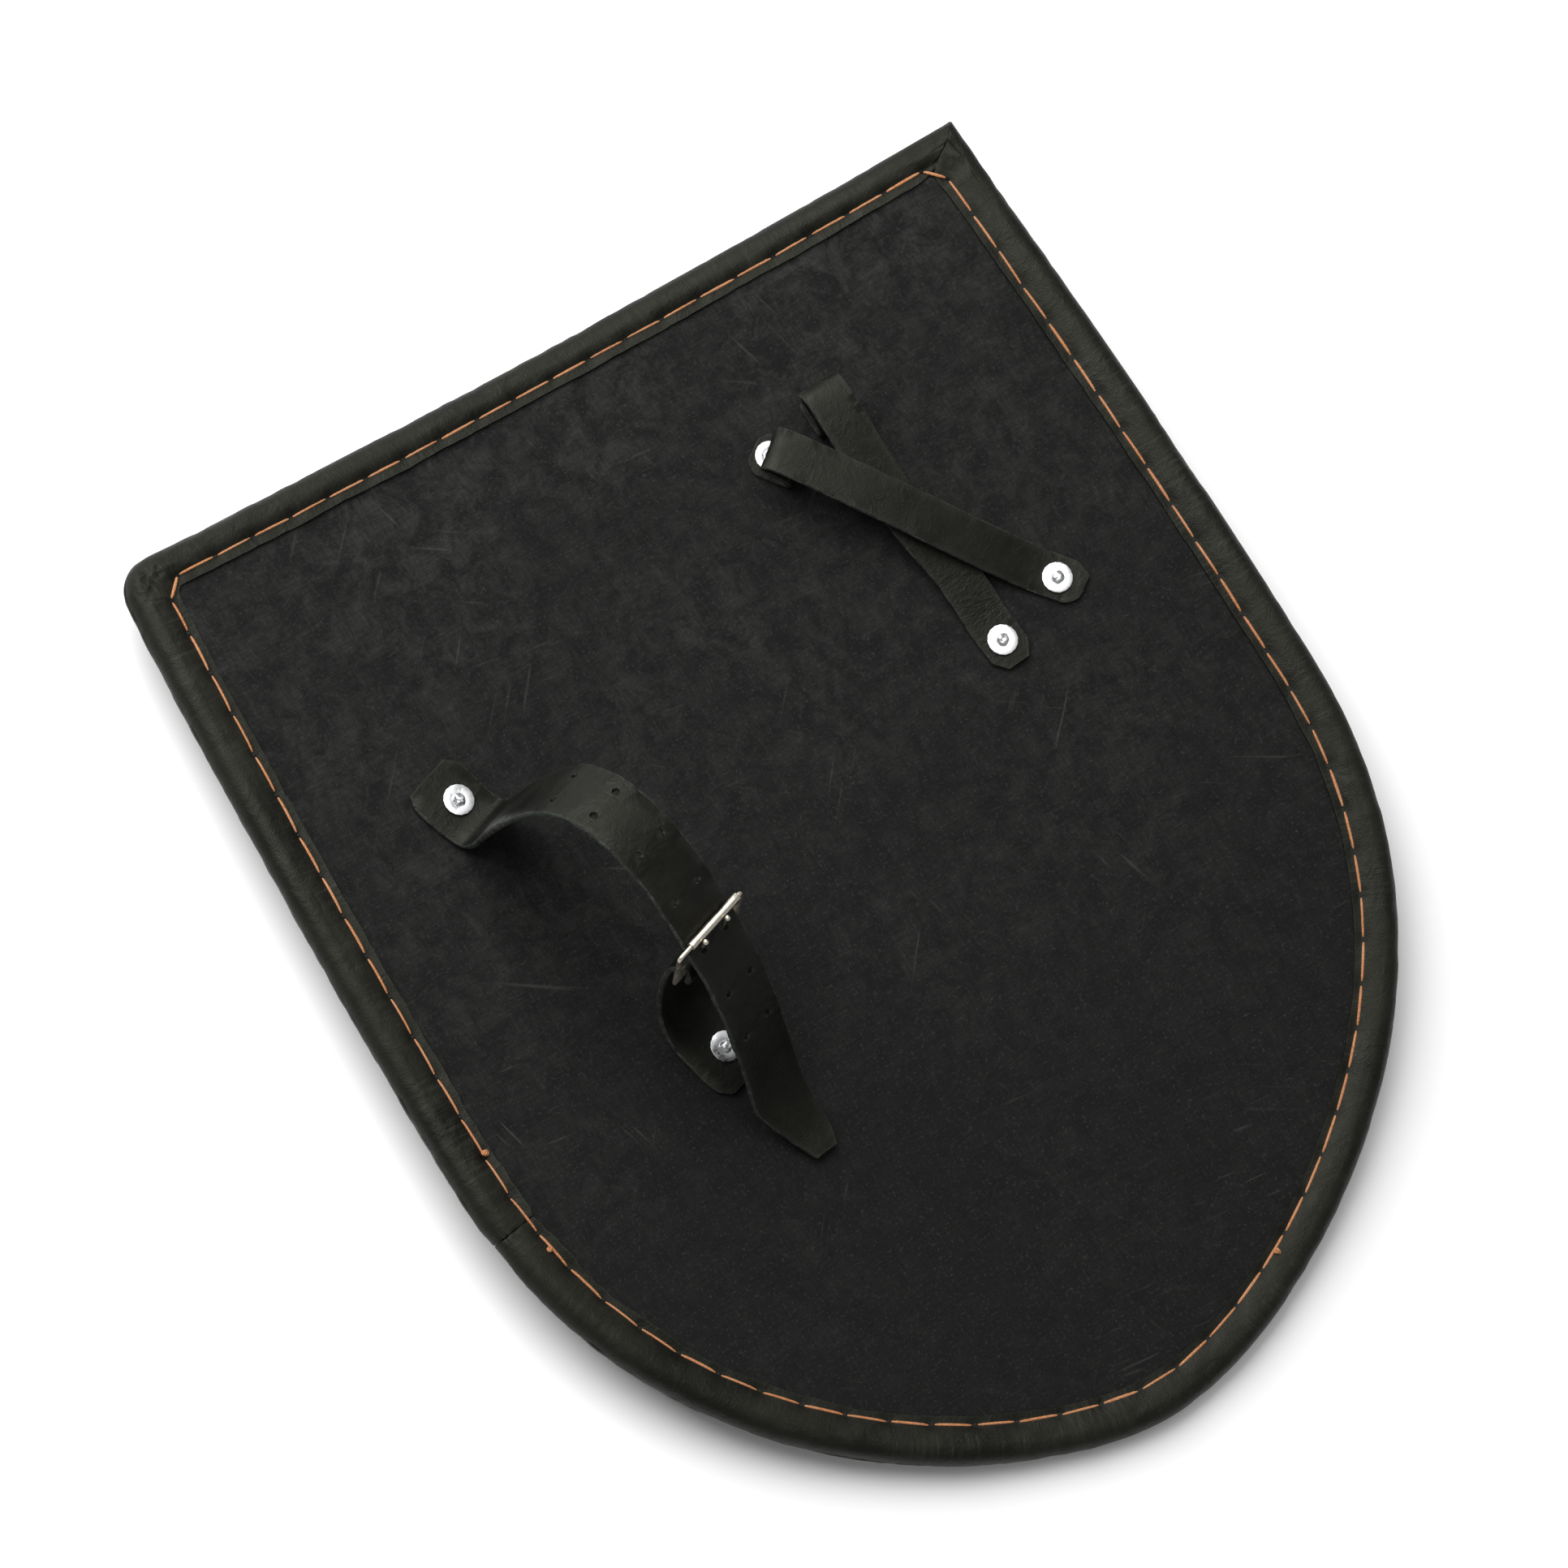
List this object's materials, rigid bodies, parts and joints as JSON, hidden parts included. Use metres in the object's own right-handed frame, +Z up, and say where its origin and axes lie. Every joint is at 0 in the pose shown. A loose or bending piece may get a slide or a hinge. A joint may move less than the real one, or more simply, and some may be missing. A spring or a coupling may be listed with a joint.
{
  "type": "heater shield",
  "caption": "Curved heater shield with a canvas-covered board, a stitched leather edge, crossed hand straps and a buckled forearm strap on its hollow back.",
  "frame": {"origin": "middle of the bounding box on the ground plane, with the shield lying on its front, hollow back up", "axes": "+X to the right seen from the back, +Y to the straight top edge, +Z up out of the hollow back"},
  "size_m": [0.5988, 0.7, 0.1629],
  "materials": {
    "canvas": "black canvas glued on the board, dull, faintly scratched",
    "leather": "waxed black leather with an olive cast, scuffed",
    "steel": "zinc-plated washers and peened rivets",
    "nickel": "bright nickel-plated buckle wire"
  },
  "bodies": {
    "shield": {"binding_top_left": "leather", "binding_bottom_right": "leather", "board": "canvas", "grip_strap_over": "leather", "grip_strap_under": "leather", "arm_strap": "leather", "buckle_strap": "leather", "buckle_frame": "nickel", "buckle_prong_left": "nickel", "buckle_prong_right": "nickel", "washer_grip_over_left": "steel", "rivet_grip_over_left": "steel", "washer_grip_over_right": "steel", "rivet_grip_over_right": "steel", "washer_grip_under_top": "steel", "rivet_grip_under_top": "steel", "washer_grip_under_low": "steel", "rivet_grip_under_low": "steel", "washer_arm": "steel", "rivet_arm": "steel", "washer_buckle": "steel", "rivet_buckle": "steel"},
    "roller": {"buckle_roller": "nickel"}
  },
  "joints": [
    {"name": "roller_spin", "type": "hinge", "parent": "shield", "child": "roller", "pos_m": [-0.12336, 0.01291, 0.13615], "axis": [0.955, 0.2796, -0.0987], "continuous": true}
  ]
}
